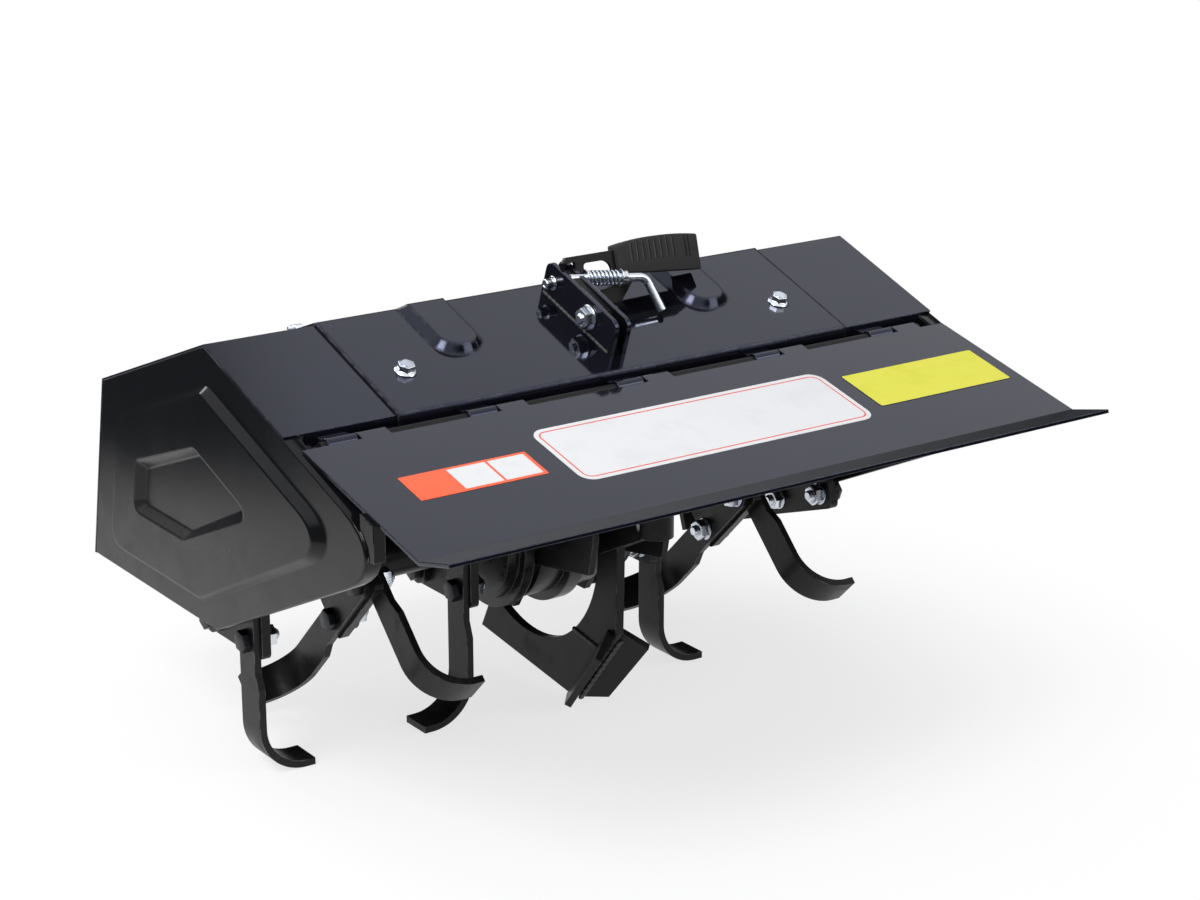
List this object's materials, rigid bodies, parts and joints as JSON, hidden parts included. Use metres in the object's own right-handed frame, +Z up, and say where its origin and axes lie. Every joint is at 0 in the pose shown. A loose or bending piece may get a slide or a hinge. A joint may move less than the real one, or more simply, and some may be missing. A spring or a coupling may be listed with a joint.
{
  "type": "rotary tiller attachment for a two-wheel tractor",
  "caption": "Rear-mounted rotavator with a folded steel hood, L-shaped tines on a cross rotor, a hinged levelling flap and a latched depth shank with a share.",
  "frame": {"origin": "on the ground under the middle of the machine's length and width, with the tines' feet standing on z = 0 and the share's tip 2.4 mm above it", "axes": "+X along the rotor to the machine's right, +Y forwards towards the input flange, +Z up"},
  "size_m": [0.64, 0.5961, 0.3974],
  "materials": {
    "hood_paint": "gloss black",
    "panel_paint": "satin black",
    "flap_paint": "gloss black with three blank stickers",
    "case_paint": "black enamel over a cast or welded case",
    "tine_paint": "black dip on forged steel",
    "frame_paint": "satin black",
    "zinc": "bright zinc plate",
    "shaft_steel": "ground steel",
    "grip_rubber": "ribbed black rubber"
  },
  "bodies": {
    "frame": {"hood_centre": "hood_paint", "hood_wing_left": "hood_paint", "hood_wing_right": "hood_paint", "side_panel_left": "panel_paint", "side_panel_right": "panel_paint", "hinge_knuckles": "hood_paint", "hinge_rod": "frame_paint", "gear_case": "case_paint", "hub_left": "case_paint", "hub_right": "case_paint", "input_flange": "case_paint", "input_shaft": "shaft_steel", "hood_stand": "frame_paint", "shank": "frame_paint", "skid_runner": "frame_paint", "share": "frame_paint", "coulter_socket": "frame_paint", "latch_ears": "hood_paint", "latch_pins": "zinc", "lever_plate": "frame_paint", "lever_grip": "grip_rubber", "lever_spring": "zinc", "lever_rod": "zinc"},
    "flap": {"flap": "flap_paint"},
    "rotor": {"rotor_shaft": "shaft_steel", "rotor_tube_left": "tine_paint", "rotor_tube_right": "tine_paint", "flanges_left": "tine_paint", "flanges_right": "tine_paint", "tines_left_outer": "tine_paint", "tines_left_middle": "tine_paint", "tines_left_inner": "tine_paint", "tines_right_inner": "tine_paint", "tines_right_middle": "tine_paint", "tines_right_outer": "tine_paint"}
  },
  "joints": [
    {"name": "flap_hinge", "type": "hinge", "parent": "frame", "child": "flap", "pos_m": [0, -0.08729, 0.3064], "axis": [-1, 0, 0], "range_deg": [0, 85]},
    {"name": "rotor_spin", "type": "hinge", "parent": "frame", "child": "rotor", "pos_m": [0, 0.0657, 0.145], "axis": [1, 0, 0], "continuous": true}
  ]
}
